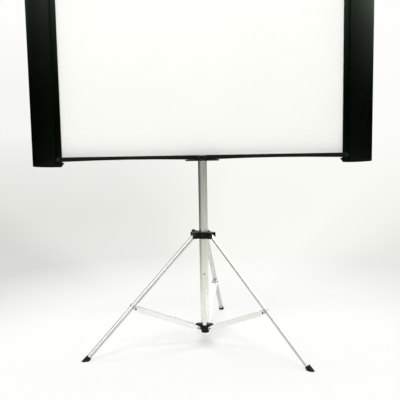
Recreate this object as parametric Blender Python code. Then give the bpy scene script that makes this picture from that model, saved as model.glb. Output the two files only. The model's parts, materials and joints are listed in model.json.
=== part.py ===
"""Portable projector screen on a folding tripod.

Two upright housings hold a white fabric stretched between them, one from a spring roller and one
from a clamp bar. A pair of folding arms at the bottom and a pair at the top keep them apart. The
lower pair rests on the head of a centre pole, and three braced legs carry the pole.

Units are metres and +Z is up. The viewer stands at -Y.
"""
import math

import bmesh
import bpy
from mathutils import Matrix

# Screen
VIEW_WIDTH = 1.321
VIEW_HEIGHT = 0.991
FABRIC_THICK = 0.001
FABRIC_TUCK = 0.013

# Clearances
SEAT = 0.0003
RUNNING = 0.0003
OVERRUN = 0.004

# Folding arms
ARM_BOTTOM_PIVOT_HEIGHT = 0.9065
ARM_END_RADIUS = 0.0105
ARM_WAIST = 0.0155
ARM_THICK = 0.010
ARM_LAYER_GAP = 0.0042
KNUCKLE_HALF_SPACING = 0.015
CHEEK_THICK = 0.0032
CHEEK_HEIGHT = 0.019
SOCKET_WALL = 0.0014
RIVET_SHAFT = 0.0034
RIVET_HEAD = 0.0062
RIVET_HEAD_THICK = 0.0015
RIVET_RIM_SHARE = 0.8
RIVET_DOME_SHARE = 0.6

# Housings
HOUSING_WIDTH = 0.146
HOUSING_BULGE = 0.070
HOUSING_BACK_RADIUS = 0.015
HOUSING_WALL = 0.0025
HOUSING_FACE_PROUD = 0.0012
HOUSING_BACK_SLOPE = 0.045
RECESS_WIDTH = 0.027
RECESS_SPARE = 0.0015
SLOT_WIDTH = 0.005
PIVOT_TO_END = 0.0345
CLOSED_GAP = 0.0005
CAP_THICK = 0.011
CAP_LIP = 0.006
CAP_LIP_WALL = 0.002
CAP_LIP_CLEAR = 0.0004
LATCH_REACH = 0.015
LATCH_ROOT = 0.012
LATCH_HEIGHT = 0.020
LATCH_NOSE = 0.003
LATCH_THICK = 0.008
LATCH_MID_GAP = 0.0015
LATCH_CLEAR = 0.0006
PIVOT_SHOULDER = 0.0060
PIVOT_STUD = 0.0030
PIVOT_STUD_REACH = 0.001

# Roller and clamp bar
ROLLER_OUT = 0.075
ROLL_RADIUS = 0.016
ROLLER_CORE = 0.0135
ROLLER_JOURNAL = 0.012
ROLLER_BORE = 0.0045
ROLLER_BORE_DEPTH = 0.014
BEARING_FLANGE = 0.012
BEARING_FLANGE_THICK = 0.004
BEARING_STUB = 0.010
CLAMP_DEPTH = 0.0092
CLAMP_WIDTH = 0.018
CLAMP_INSET = 0.024

# Stand head and pole
POLE_RADIUS = 0.0205
POLE_WALL = 0.0016
HEAD_UNDER_ARM = 0.064
HEAD_DEPTH = 0.024
HEAD_THICK = 0.005
HEAD_TAPER = 0.008
HEAD_PLUG = 0.035
HEAD_PLUG_BORE = 0.012
TONGUE_THICK = 0.0042
TONGUE_DEPTH = 0.0080
TONGUE_HEIGHT = 0.0140
POLE_SCREW_HEIGHT = 0.352
POLE_SCREW_HEAD = 0.0036
POLE_SCREW_THICK = 0.0016
POLE_SCREW_HOLE = 0.0022

# Tripod
STAND_TURN = math.radians(-9.3)
LEG_COUNT = 3
COLLAR_PIVOT_RADIUS = 0.0515
COLLAR_PIVOT_HEIGHT = 0.534
FOOT_SPREAD = 0.588
HUB_PIVOT_RADIUS = 0.0395
HUB_PIVOT_HEIGHT = 0.088
LEG_RADIUS = 0.0105
LEG_WALL = 0.0012
BRACE_ON_LEG = 0.431
BRACE_OFFSET = 0.0142

# Collar
COLLAR_TOP = 0.0215
COLLAR_BOTTOM = 0.0105
COLLAR_RADIUS = 0.0335
COLLAR_EDGE = 0.0018
COLLAR_ROOF = 0.0030
SLOT_ROOT = 0.0013
SLOT_PLAY = 0.0004
EAR_THICK = 0.0040
EAR_REACH = 0.0090
EAR_EDGE = 0.0020
EAR_STEP = 0.0005
KNOB_RADIUS = 0.0105
KNOB_THICK = 0.0120
KNOB_FLUTES = 6
KNOB_FLUTE_DEPTH = 0.0018
KNOB_SCREW = 0.003
KNOB_BOSS_RADIUS = 0.0065
KNOB_BOSS_REACH = 0.0225
KNOB_RISE = 0.0144

# Leg fittings
LEG_TOP = 0.0085
EYE_CAP = 0.0020
EYE_EDGE = 0.0010
EYE_PLUG = 0.022
LEG_PIN = 0.0030
LEG_PIN_HEAD = 0.0058
BOOT_RIM = 0.0132
BOOT_FLARE = 0.0150
BOOT_LENGTH = 0.027
BOOT_FLOOR = 0.0150
CLAMP_RING = 0.0018
CLAMP_HEIGHT = 0.016
CLAMP_EAR_RADIUS = 0.0068
CLAMP_BOLT = 0.0045
CLAMP_BOLT_REACH = 0.0028

# Braces and hub
BRACE_WALL = 0.0014
BRACE_HEIGHT = 0.0235
BRACE_END_RADIUS = 0.0085
BRACE_TAPER = 0.030
BRACE_OUTER_NOTCH = 0.032
BRACE_INNER_NOTCH = 0.085
CLIP_PLAY = 0.0005
BRACE_PIN = 0.0023
BRACE_PIN_HEAD = 0.0045
BRACE_HEAD_THICK = 0.0016
HUB_SHOULDER = 0.0007
HUB_BODY_TOP = 0.0105
HUB_BODY_BOTTOM = 0.0150
HUB_NECK_RADIUS = 0.0178
HUB_DISC_RADIUS = 0.0195
HUB_DISC = 0.0060
HUB_BASE = 0.0275
HUB_EDGE = 0.0015
HUB_PLUG = 0.024
HUB_LUG_RADIUS = 0.0072
HUB_LUG_TOP = 0.0185
HUB_LUG_TIP = 0.0030
HUB_LUG_BEVEL = 0.0035
HUB_LUG_ROOT = 0.0120
HUB_LUG_STEP = 0.0008

# Facets
POLE_SIDES = 28
LEG_SIDES = 16
ROLL_SIDES = 20
PIN_SIDES = 12
HOLE_SIDES = 16
ARC_STEPS = 6
PROFILE_STEPS = 10
SMOOTH_ANGLE = math.radians(38)

# Sizes that follow
ARM_HALF = ARM_THICK / 2
UPPER_LAYER = ARM_THICK + ARM_LAYER_GAP
RECESS_FLOOR = UPPER_LAYER + ARM_HALF + 2 * SEAT + CHEEK_THICK + RIVET_HEAD_THICK + RECESS_SPARE
FACE_FRONT = -(ARM_HALF + SEAT + CHEEK_THICK + HOUSING_FACE_PROUD)
FABRIC_PLANE = RECESS_FLOOR + HOUSING_WALL + SLOT_WIDTH / 2
HOUSING_BACK = FACE_FRONT + HOUSING_BULGE + HOUSING_BACK_RADIUS
HOUSING_PIVOT_X = VIEW_WIDTH / 2 + KNUCKLE_HALF_SPACING - CLOSED_GAP
ARM_LENGTH = HOUSING_PIVOT_X - KNUCKLE_HALF_SPACING
ARM_RISE = VIEW_HEIGHT + 2 * ARM_END_RADIUS
UPPER_PIVOT_HEIGHT = ARM_BOTTOM_PIVOT_HEIGHT + ARM_RISE
ROLLER_PLANE = FABRIC_PLANE + FABRIC_THICK / 2 + SEAT + ROLL_RADIUS
HEAD_TOP = ARM_BOTTOM_PIVOT_HEIGHT - ARM_END_RADIUS - SEAT
POLE_TOP = HEAD_TOP - HEAD_THICK - SEAT
HEAD_HALF_LENGTH = KNUCKLE_HALF_SPACING + HEAD_UNDER_ARM
POLE_BOTTOM = HUB_PIVOT_HEIGHT + HUB_BODY_TOP + SEAT
HUB_BODY_RADIUS = POLE_RADIUS + HUB_SHOULDER
EAR_INNER = LEG_RADIUS + SLOT_PLAY
EAR_OUTER = EAR_INNER + EAR_THICK
EYE_HOLE = LEG_PIN + RUNNING
BRACE_HOLE = BRACE_PIN + RUNNING
CLIP_BORE = LEG_RADIUS + SEAT
CLIP_OUTER = CLIP_BORE + CLAMP_RING
BRACE_INNER = CLIP_OUTER + CLIP_PLAY
BRACE_OUTER = BRACE_INNER + BRACE_WALL
FORK_FILL = BRACE_INNER - SEAT
LEG_REACH = FOOT_SPREAD - COLLAR_PIVOT_RADIUS
LEG_ANGLE = math.atan2(LEG_REACH, COLLAR_PIVOT_HEIGHT)
LEG_AXIS = math.hypot(LEG_REACH, COLLAR_PIVOT_HEIGHT)
BRACE_JOINT_OUT = (COLLAR_PIVOT_RADIUS + BRACE_ON_LEG * math.sin(LEG_ANGLE)
                   - BRACE_OFFSET * math.cos(LEG_ANGLE))
BRACE_JOINT_UP = (COLLAR_PIVOT_HEIGHT - BRACE_ON_LEG * math.cos(LEG_ANGLE)
                  - BRACE_OFFSET * math.sin(LEG_ANGLE))
BRACE_RUN = BRACE_JOINT_OUT - HUB_PIVOT_RADIUS
BRACE_CLIMB = BRACE_JOINT_UP - HUB_PIVOT_HEIGHT
BRACE_LENGTH = math.hypot(BRACE_RUN, BRACE_CLIMB)
BRACE_ANGLE = math.atan2(BRACE_CLIMB, BRACE_RUN)

# Material colours, roughness and metallic share
FINISHES = {
    "housing_black": ((0.012, 0.014, 0.013), 0.34, 0.0),
    "arm_black": ((0.022, 0.022, 0.021), 0.42, 0.0),
    "silver": ((0.80, 0.80, 0.79), 0.26, 1.0),
    "stand_black": ((0.016, 0.016, 0.015), 0.50, 0.0),
    "rubber": ((0.020, 0.020, 0.019), 0.75, 0.0),
    "steel": ((0.45, 0.45, 0.44), 0.32, 1.0),
    "roller_grey": ((0.55, 0.56, 0.56), 0.40, 0.6),
    "screen_white": ((0.90, 0.90, 0.89), 0.85, 0.0),
}


def clear_scene():
    """Remove every object that the file starts with."""
    for obj in list(bpy.data.objects):
        bpy.data.objects.remove(obj, do_unlink=True)


def finish(name):
    """A Principled material with the named finish, made once."""
    found = bpy.data.materials.get(name)
    if found:
        return found
    colour, roughness, metallic = FINISHES[name]
    material = bpy.data.materials.new(name)
    material.use_nodes = True
    shader = material.node_tree.nodes["Principled BSDF"]
    shader.inputs["Base Color"].default_value = (*colour, 1)
    shader.inputs["Roughness"].default_value = roughness
    shader.inputs["Metallic"].default_value = metallic
    material.diffuse_color = (*colour, 1)
    return material


def frame_empty(name, parent=None, place=(0, 0, 0), turn=(0, 0, 0)):
    """An empty that carries the pieces of one moving body or one leg."""
    empty = bpy.data.objects.new(name, None)
    bpy.context.collection.objects.link(empty)
    empty.parent = parent
    empty.location = place
    empty.rotation_euler = turn
    return empty


def make_piece(name, bm, look, parent, place=(0, 0, 0), turn=(0, 0, 0)):
    """Turn a closed bmesh into one named, shaded object under its parent."""
    bmesh.ops.recalc_face_normals(bm, faces=bm.faces)
    mesh = bpy.data.meshes.new(name)
    bm.to_mesh(mesh)
    bm.free()
    mesh.shade_smooth()
    mesh.set_sharp_from_angle(angle=SMOOTH_ANGLE)
    obj = bpy.data.objects.new(name, mesh)
    bpy.context.collection.objects.link(obj)
    obj.parent = parent
    obj.location = place
    obj.rotation_euler = turn
    if look:
        mesh.materials.append(finish(look))
    return obj


def combine(obj, bm, operation, place=(0, 0, 0), turn=(0, 0, 0)):
    """Cut or join a shape given in the object's own frame, with a Boolean modifier."""
    tool = make_piece(obj.name + "_" + operation.lower(), bm, None, obj, place, turn)
    tool.hide_render = True
    tool.display_type = 'WIRE'
    modifier = obj.modifiers.new(operation.title(), 'BOOLEAN')
    modifier.operation = operation
    modifier.solver = 'EXACT'
    modifier.object = tool
    return tool


def bridge_rings(bm, lower, upper):
    """Quads between two rings of as many vertices."""
    count = len(lower)
    for i in range(count):
        j = (i + 1) % count
        bm.faces.new((lower[i], lower[j], upper[j], upper[i]))


def lathe(profile, sides):
    """Solid turned about Z from (radius, height) points that start and end on the axis."""
    bm = bmesh.new()
    rings = []
    for radius, height in profile:
        if radius == 0:
            rings.append([bm.verts.new((0, 0, height))])
            continue
        angles = [2 * math.pi * i / sides for i in range(sides)]
        rings.append([bm.verts.new((radius * math.cos(a), radius * math.sin(a), height)) for a in angles])
    for lower, upper in zip(rings, rings[1:]):
        if len(lower) == 1 or len(upper) == 1:
            tip, ring = (lower[0], upper) if len(lower) == 1 else (upper[0], lower)
            for i in range(sides):
                bm.faces.new((tip, ring[i], ring[(i + 1) % sides]))
        else:
            bridge_rings(bm, lower, upper)
    return bm


def hollow_lathe(profile, sides):
    """Ring turned about Z from a closed loop of (radius, height) points."""
    bm = bmesh.new()
    angles = [2 * math.pi * i / sides for i in range(sides)]
    rings = [[bm.verts.new((r * math.cos(a), r * math.sin(a), h)) for a in angles] for r, h in profile]
    for lower, upper in zip(rings, rings[1:] + rings[:1]):
        bridge_rings(bm, lower, upper)
    return bm


def tube(outer, inner, low, high, sides):
    """Plain round tube along Z."""
    return hollow_lathe([(outer, low), (outer, high), (inner, high), (inner, low)], sides)


def cylinder(radius, low, high, sides):
    """Plain round bar along Z."""
    return lathe([(0, low), (radius, low), (radius, high), (0, high)], sides)


def prism(outline, low, high, axes="xyz"):
    """Outline in the first two named axes, drawn out along the third from low to high."""
    bm = bmesh.new()
    order = ["xyz".index(letter) for letter in axes]
    rings = []
    for depth in (low, high):
        ring = []
        for a, b in outline:
            point = [0, 0, 0]
            for axis, value in zip(order, (a, b, depth)):
                point[axis] = value
            ring.append(bm.verts.new(point))
        rings.append(ring)
    bm.faces.new(rings[0])
    bm.faces.new(rings[1])
    bridge_rings(bm, rings[0], rings[1])
    return bm


def cross_bar(radius, low, high, sides, out=0):
    """Round bar along Y, at the given X."""
    bm = lay_across(cylinder(radius, low, high, sides))
    bmesh.ops.translate(bm, verts=bm.verts, vec=(out, 0, 0))
    return bm


def lay_across(bm):
    """Turn a shape drawn along Z so that it lies along +Y."""
    bmesh.ops.rotate(bm, verts=bm.verts, cent=(0, 0, 0), matrix=Matrix.Rotation(-math.pi / 2, 3, 'X'))
    return bm


def lay_outward(bm):
    """Turn a shape drawn along Z so that it lies along +X."""
    bmesh.ops.rotate(bm, verts=bm.verts, cent=(0, 0, 0), matrix=Matrix.Rotation(math.pi / 2, 3, 'Y'))
    return bm


def mirrored(bm, side, rise=1):
    """Mirror a shape drawn for the lower right when it is for the left or for the top."""
    bmesh.ops.scale(bm, vec=(side, 1, rise), verts=bm.verts)
    return bm


def block(low, high):
    """Rectangular block between two corners."""
    outline = [(low[0], low[1]), (high[0], low[1]), (high[0], high[1]), (low[0], high[1])]
    return prism(outline, low[2], high[2])


def arc(centre, radius, start, end, steps):
    """Points of a circular arc, angles in degrees, both ends included."""
    points = []
    for i in range(steps + 1):
        angle = math.radians(start + (end - start) * i / steps)
        points.append((centre[0] + radius * math.cos(angle), centre[1] + radius * math.sin(angle)))
    return points


def rivet_profile(shaft, head, head_thick, low, high):
    """Rivet along Z with a slightly domed head outside each end of its grip."""
    dome = head_thick * RIVET_DOME_SHARE
    rim = head * RIVET_RIM_SHARE
    return [(0, low - head_thick), (rim, low - head_thick), (head, low - head_thick + dome), (head, low),
            (shaft, low), (shaft, high),
            (head, high), (head, high + head_thick - dome), (rim, high + head_thick), (0, high + head_thick)]


def arm_outline():
    """Side view of a folding arm from knuckle pivot to housing pivot, straight on top, arched below."""
    r = ARM_END_RADIUS
    arch = 2 * r - ARM_WAIST
    points = arc((0, 0), r, 90, 270, 2 * ARC_STEPS)
    for i in range(1, PROFILE_STEPS):
        share = i / PROFILE_STEPS
        points.append((ARM_LENGTH * share, arch * math.sin(math.pi * share) - r))
    points += arc((ARM_LENGTH, 0), r, -90, 90, 2 * ARC_STEPS)
    return points


def build_arm(name, parent, side, rise):
    """One folding arm with its two pivot holes, straight edge towards the fabric."""
    bm = mirrored(prism(arm_outline(), -ARM_HALF, ARM_HALF, "xzy"), side, rise)
    arm = make_piece(name, bm, "arm_black", parent)
    reach = ARM_HALF + OVERRUN
    for x in (0, side * ARM_LENGTH):
        combine(arm, cross_bar(RIVET_SHAFT + RUNNING, -reach, reach, HOLE_SIDES, x), 'DIFFERENCE')
    return arm


def cheek_outline():
    """Knuckle plate seen from the front: two round ears with a straight waist between."""
    half = KNUCKLE_HALF_SPACING
    radius = CHEEK_HEIGHT / 2
    return arc((half, 0), radius, -90, 90, 2 * ARC_STEPS) + arc((-half, 0), radius, 90, 270, 2 * ARC_STEPS)


def build_knuckle(name, parent, outward, socket):
    """Centre joint of an arm pair: one cheek plate with a web between the arm ends."""
    near = outward * (ARM_HALF + SEAT)
    far = near + outward * CHEEK_THICK
    low, high = sorted((near, far))
    knuckle = make_piece(name, prism(cheek_outline(), low, high, "xzy"), "arm_black", parent)
    web = KNUCKLE_HALF_SPACING - ARM_END_RADIUS - SEAT
    back = -outward * (ARM_HALF + SOCKET_WALL)
    y_low, y_high = sorted((near + outward * CHEEK_THICK / 2, back))
    height = CHEEK_HEIGHT / 2
    combine(knuckle, block((-web, y_low, -height), (web, y_high, height)), 'UNION')
    if socket:
        slot = TONGUE_THICK / 2 + RUNNING
        depth = TONGUE_DEPTH / 2 + RUNNING
        top = HEAD_TOP + TONGUE_HEIGHT + RUNNING - ARM_BOTTOM_PIVOT_HEIGHT
        cut = block((-slot, -depth, -height - OVERRUN), (slot, depth, top))
        combine(knuckle, cut, 'DIFFERENCE')
    for x in (-KNUCKLE_HALF_SPACING, KNUCKLE_HALF_SPACING):
        hole = cross_bar(RIVET_SHAFT + SEAT, low - OVERRUN, high + OVERRUN, HOLE_SIDES, x)
        combine(knuckle, hole, 'DIFFERENCE')
    return knuckle


def build_knuckle_rivet(name, parent, x, outward):
    """Rivet that an arm turns on at the knuckle."""
    cheek = ARM_HALF + 2 * SEAT + CHEEK_THICK
    plain = ARM_HALF + SEAT
    low, high = (-cheek, plain) if outward < 0 else (-plain, cheek)
    profile = rivet_profile(RIVET_SHAFT, RIVET_HEAD, RIVET_HEAD_THICK, low, high)
    return make_piece(name, lay_across(lathe(profile, PIN_SIDES)), "steel", parent, (x, 0, 0))


def build_pivot_bolt(name, parent, layer):
    """Shoulder bolt that carries an arm in front of the recess floor of a housing."""
    front = layer - ARM_HALF - SEAT
    back = layer + ARM_HALF + SEAT
    shoulder = RECESS_FLOOR - SEAT
    end = RECESS_FLOOR + HOUSING_WALL + PIVOT_STUD_REACH
    dome = RIVET_HEAD_THICK * RIVET_DOME_SHARE
    profile = [(0, front - RIVET_HEAD_THICK), (RIVET_HEAD * RIVET_RIM_SHARE, front - RIVET_HEAD_THICK),
               (RIVET_HEAD, front - RIVET_HEAD_THICK + dome), (RIVET_HEAD, front),
               (RIVET_SHAFT, front), (RIVET_SHAFT, back), (PIVOT_SHOULDER, back),
               (PIVOT_SHOULDER, shoulder), (PIVOT_STUD, shoulder), (PIVOT_STUD, end), (0, end)]
    return make_piece(name, lay_across(lathe(profile, PIN_SIDES)), "steel", parent)


def face_curve(inset, start_out, steps):
    """Front face of a housing from start_out to its outer side, a quarter of an ellipse."""
    wide = HOUSING_WIDTH - inset
    deep = HOUSING_BULGE - inset
    start = math.asin(start_out / wide)
    points = []
    for i in range(steps + 1):
        angle = start + (math.pi / 2 - start) * i / steps
        points.append((wide * math.sin(angle), FACE_FRONT + HOUSING_BULGE - deep * math.cos(angle)))
    return points


def back_curve(inset):
    """Back of a housing from its outer side to the rear lip of the fabric slot."""
    corner = (HOUSING_WIDTH - HOUSING_BACK_RADIUS, HOUSING_BACK - HOUSING_BACK_RADIUS)
    radius = HOUSING_BACK_RADIUS - inset
    points = arc(corner, radius, 0, 90, ARC_STEPS // 2)[1:]
    points.append((HOUSING_BACK_SLOPE, HOUSING_BACK - inset))
    points.append((0, FABRIC_PLANE + SLOT_WIDTH / 2 + HOUSING_WALL - inset))
    return points


def shell_outline():
    """Section of a housing: one open wall around the roller space, with the recess for the arms."""
    outside = [(0, RECESS_FLOOR), (RECESS_WIDTH, RECESS_FLOOR)]
    outside += face_curve(0, RECESS_WIDTH, PROFILE_STEPS) + back_curve(0)
    wall = HOUSING_WALL
    inside = [(0, RECESS_FLOOR + wall), (RECESS_WIDTH + wall, RECESS_FLOOR + wall)]
    inside += face_curve(wall, RECESS_WIDTH + wall, PROFILE_STEPS) + back_curve(wall)
    return outside + inside[::-1]


def cap_outline():
    """Outline of an end cap, which fills the recess as well."""
    return face_curve(0, 0, PROFILE_STEPS) + back_curve(0)


def lip_outline(inset):
    """Outline inside the housing wall, outside or inside edge of the cap's lip."""
    start = RECESS_WIDTH + inset
    points = face_curve(inset, start, PROFILE_STEPS // 2)
    corner = (HOUSING_WIDTH - HOUSING_BACK_RADIUS, HOUSING_BACK - HOUSING_BACK_RADIUS)
    points += arc(corner, HOUSING_BACK_RADIUS - inset, 0, 90, ARC_STEPS // 2)[1:]
    points.append((HOUSING_BACK_SLOPE + inset, HOUSING_BACK - inset))
    points.append((start, FABRIC_PLANE + SLOT_WIDTH / 2 + inset))
    return points


def build_housing(name, parent, side):
    """Long upright shell, open at both ends, drilled for its two pivot bolts."""
    low = PIVOT_TO_END - CAP_THICK - SEAT
    bm = mirrored(prism(shell_outline(), -low, ARM_RISE + low), side)
    edge = -side * (HOUSING_PIVOT_X - VIEW_WIDTH / 2)
    shell = make_piece(name, bm, "housing_black", parent, (edge, 0, 0))
    for rise in (0, ARM_RISE):
        hole = cross_bar(PIVOT_STUD + SEAT, RECESS_FLOOR - OVERRUN, FABRIC_PLANE, HOLE_SIDES, -edge)
        combine(shell, hole, 'DIFFERENCE', (0, 0, rise))
    return shell


def latch_outline():
    """Latch seen from the front, drawn up from the end of the housing, nose towards its partner."""
    return [(LATCH_ROOT, CAP_THICK / 2), (LATCH_ROOT, LATCH_HEIGHT), (-LATCH_REACH, LATCH_HEIGHT),
            (-LATCH_REACH, LATCH_HEIGHT - LATCH_NOSE), (0, 0), (CAP_THICK / 2, 0)]


def build_cap(name, parent, side, rise):
    """End cap of a housing with its lip, its latch hook and the pocket for the other hook."""
    edge = -side * (HOUSING_PIVOT_X - VIEW_WIDTH / 2)
    height = -PIVOT_TO_END if rise > 0 else ARM_RISE + PIVOT_TO_END
    plate = mirrored(prism(cap_outline(), 0, CAP_THICK), side, rise)
    cap = make_piece(name, plate, "housing_black", parent, (edge, 0, height))
    outer = HOUSING_WALL + CAP_LIP_CLEAR
    lip = prism(lip_outline(outer), CAP_THICK / 2, CAP_THICK + CAP_LIP)
    combine(cap, mirrored(lip, side, rise), 'UNION')
    hollow = prism(lip_outline(outer + CAP_LIP_WALL), CAP_THICK, CAP_THICK + CAP_LIP + OVERRUN)
    combine(cap, mirrored(hollow, side, rise), 'DIFFERENCE')
    front = (-LATCH_MID_GAP / 2 - LATCH_THICK, -LATCH_MID_GAP / 2)
    rear = (LATCH_MID_GAP / 2, LATCH_MID_GAP / 2 + LATCH_THICK)
    own = front if side < 0 else rear
    hook = prism(latch_outline(), own[0], own[1], "xzy")
    combine(cap, mirrored(hook, side, rise), 'UNION')
    near = rear[0] - LATCH_CLEAR if side < 0 else FACE_FRONT - OVERRUN
    far = rear[1] + LATCH_CLEAR if side < 0 else front[1] + LATCH_CLEAR
    deep = LATCH_REACH + LATCH_CLEAR
    pocket = block((-OVERRUN, near, -OVERRUN), (deep, far, LATCH_HEIGHT + OVERRUN))
    combine(cap, mirrored(pocket, side, rise), 'DIFFERENCE')
    return cap


def build_roller(parent):
    """Spring roller with the turns of fabric left on it."""
    low = PIVOT_TO_END - CAP_THICK - BEARING_FLANGE_THICK - 2 * SEAT
    high = ARM_RISE + low
    bore = ROLLER_BORE
    depth = ROLLER_BORE_DEPTH
    profile = [(0, depth - low), (bore, depth - low), (bore, -low), (ROLLER_JOURNAL, -low),
               (ROLLER_CORE, ROLLER_CORE - ROLLER_JOURNAL - low), (ROLLER_CORE, 0), (ROLL_RADIUS, 0),
               (ROLL_RADIUS, ARM_RISE), (ROLLER_CORE, ARM_RISE),
               (ROLLER_CORE, high - ROLLER_CORE + ROLLER_JOURNAL),
               (ROLLER_JOURNAL, high), (bore, high), (bore, high - depth), (0, high - depth)]
    return make_piece("spring_roller", lathe(profile, ROLL_SIDES), "roller_grey", parent)


def build_bearing(name, parent, top):
    """Flanged stub on a cap that the roller turns on."""
    base = PIVOT_TO_END - CAP_THICK - SEAT
    stub = ROLLER_BORE - RUNNING
    profile = [(0, 0), (BEARING_FLANGE, 0), (BEARING_FLANGE, BEARING_FLANGE_THICK),
               (stub, BEARING_FLANGE_THICK), (stub, BEARING_FLANGE_THICK + BEARING_STUB),
               (0, BEARING_FLANGE_THICK + BEARING_STUB)]
    if top:
        profile = [(radius, -height) for radius, height in profile]
    place = (0, 0, ARM_RISE + base) if top else (0, 0, -base)
    return make_piece(name, lathe(profile, PIN_SIDES), "stand_black", parent, place)


def build_clamp_bar(parent):
    """Bar in the right housing that grips the free edge of the fabric."""
    near = CLAMP_INSET
    far = CLAMP_INSET + CLAMP_WIDTH
    front = RECESS_FLOOR + HOUSING_WALL + SEAT
    back = front + CLAMP_DEPTH
    slot = FABRIC_THICK / 2 + SEAT
    bottom = near + FABRIC_TUCK + SEAT
    outline = [(near, front), (far, front), (far, back), (near, back), (near, FABRIC_PLANE + slot),
               (bottom, FABRIC_PLANE + slot), (bottom, FABRIC_PLANE - slot), (near, FABRIC_PLANE - slot)]
    edge = -(HOUSING_PIVOT_X - VIEW_WIDTH / 2)
    return make_piece("fabric_clamp_bar", prism(outline, 0, ARM_RISE), "steel", parent, (edge, 0, 0))


def build_fabric(parent):
    """White projection sheet from the roller to the clamp bar."""
    left = -(VIEW_WIDTH / 2 + ROLLER_OUT)
    right = VIEW_WIDTH / 2 + CLAMP_INSET + FABRIC_TUCK
    half = FABRIC_THICK / 2
    bm = block((left, FABRIC_PLANE - half, 0), (right, FABRIC_PLANE + half, ARM_RISE))
    return make_piece("screen_fabric", bm, "screen_white", parent, (HOUSING_PIVOT_X, 0, 0))


def build_screen(root):
    """Both arm pairs, both housings, the roller and the fabric."""
    knuckle_low = frame_empty("lower_knuckle_axis", root, (0, 0, ARM_BOTTOM_PIVOT_HEIGHT))
    knuckle_high = frame_empty("upper_knuckle_axis", root, (0, UPPER_LAYER, UPPER_PIVOT_HEIGHT))
    build_knuckle("lower_knuckle", knuckle_low, -1, True)
    build_knuckle("upper_knuckle", knuckle_high, 1, False)
    housings = {}
    for side, word in ((-1, "left"), (1, "right")):
        x = side * KNUCKLE_HALF_SPACING
        build_knuckle_rivet("lower_knuckle_rivet_" + word, knuckle_low, x, -1)
        build_knuckle_rivet("upper_knuckle_rivet_" + word, knuckle_high, x, 1)
        low = frame_empty("lower_arm_axis_" + word, root, (x, 0, ARM_BOTTOM_PIVOT_HEIGHT))
        high = frame_empty("upper_arm_axis_" + word, root, (x, UPPER_LAYER, UPPER_PIVOT_HEIGHT))
        build_arm("lower_arm_" + word, low, side, 1)
        build_arm("upper_arm_" + word, high, side, -1)
        place = (side * HOUSING_PIVOT_X, 0, ARM_BOTTOM_PIVOT_HEIGHT)
        post = frame_empty("housing_axis_" + word, root, place)
        build_pivot_bolt("lower_pivot_bolt_" + word, post, 0)
        top = frame_empty("upper_pivot_axis_" + word, post, (0, 0, ARM_RISE))
        build_pivot_bolt("upper_pivot_bolt_" + word, top, UPPER_LAYER)
        build_housing("housing_" + word, post, side)
        build_cap("lower_cap_" + word, post, side, 1)
        build_cap("upper_cap_" + word, post, side, -1)
        housings[word] = post
    out = -(ROLLER_OUT - (HOUSING_PIVOT_X - VIEW_WIDTH / 2))
    roller = frame_empty("roller_axis", housings["left"], (out, ROLLER_PLANE, 0))
    build_roller(roller)
    build_bearing("roller_bearing_lower", roller, False)
    build_bearing("roller_bearing_upper", roller, True)
    build_clamp_bar(housings["right"])
    build_fabric(housings["left"])


def build_pole(root):
    """Centre pole, a plain round tube with one small screw low on its front."""
    bore = POLE_RADIUS - POLE_WALL
    shell = tube(POLE_RADIUS, bore, POLE_BOTTOM, POLE_TOP, POLE_SIDES)
    pole = make_piece("centre_pole", shell, "silver", root)
    hole = cross_bar(POLE_SCREW_HOLE + SEAT, -POLE_RADIUS - OVERRUN, 0, HOLE_SIDES)
    combine(pole, hole, 'DIFFERENCE', (0, 0, POLE_SCREW_HEIGHT))
    head = POLE_SCREW_HEAD
    face = POLE_RADIUS + SEAT
    profile = [(0, POLE_RADIUS - POLE_WALL), (POLE_SCREW_HOLE, POLE_RADIUS - POLE_WALL),
               (POLE_SCREW_HOLE, face), (head, face), (head * RIVET_RIM_SHARE, face + POLE_SCREW_THICK),
               (0, face + POLE_SCREW_THICK)]
    make_piece("pole_screw", lathe(profile, PIN_SIDES), "stand_black", root, (0, 0, POLE_SCREW_HEIGHT),
               (math.pi / 2, 0, 0))


def build_head(root):
    """Head on the pole: a plug in the tube, a long plate under the arms and a locating tongue."""
    half = HEAD_HALF_LENGTH
    deep = HEAD_DEPTH / 2
    taper = HEAD_TAPER
    outline = [(-half, taper - deep), (taper - half, -deep), (half - taper, -deep), (half, taper - deep),
               (half, deep - taper), (half - taper, deep), (taper - half, deep), (-half, deep - taper)]
    low = HEAD_TOP - HEAD_THICK
    head = make_piece("stand_head", prism(outline, low, HEAD_TOP), "stand_black", root)
    plug = POLE_RADIUS - POLE_WALL - SEAT
    bore = HEAD_PLUG_BORE
    middle = low + HEAD_THICK / 2
    under = [(plug, low - HEAD_PLUG), (plug, middle), (bore, middle), (bore, low - HEAD_PLUG)]
    combine(head, hollow_lathe(under, POLE_SIDES), 'UNION')
    tongue = block((-TONGUE_THICK / 2, -TONGUE_DEPTH / 2, middle),
                   (TONGUE_THICK / 2, TONGUE_DEPTH / 2, HEAD_TOP + TONGUE_HEIGHT))
    combine(head, tongue, 'UNION')


def azimuth(index):
    """Direction of a leg, turned about Z from +X."""
    first = STAND_TURN - math.pi / 3
    return first + index * 2 * math.pi / LEG_COUNT - math.pi / 2


def bracket_outline():
    """Leg bracket of the collar seen from the side, in (out, up) from the pole axis and the pivot height."""
    root = (POLE_RADIUS + COLLAR_RADIUS) / 2
    tip = COLLAR_PIVOT_RADIUS + EAR_REACH
    low = EAR_STEP - COLLAR_BOTTOM
    top = COLLAR_TOP - EAR_STEP
    points = [(root, low)] + arc((COLLAR_PIVOT_RADIUS, low + EAR_REACH), EAR_REACH, -90, 0, ARC_STEPS)
    points += [(tip, top - EAR_EDGE), (tip - EAR_EDGE, top), (root, top)]
    return points


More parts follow.
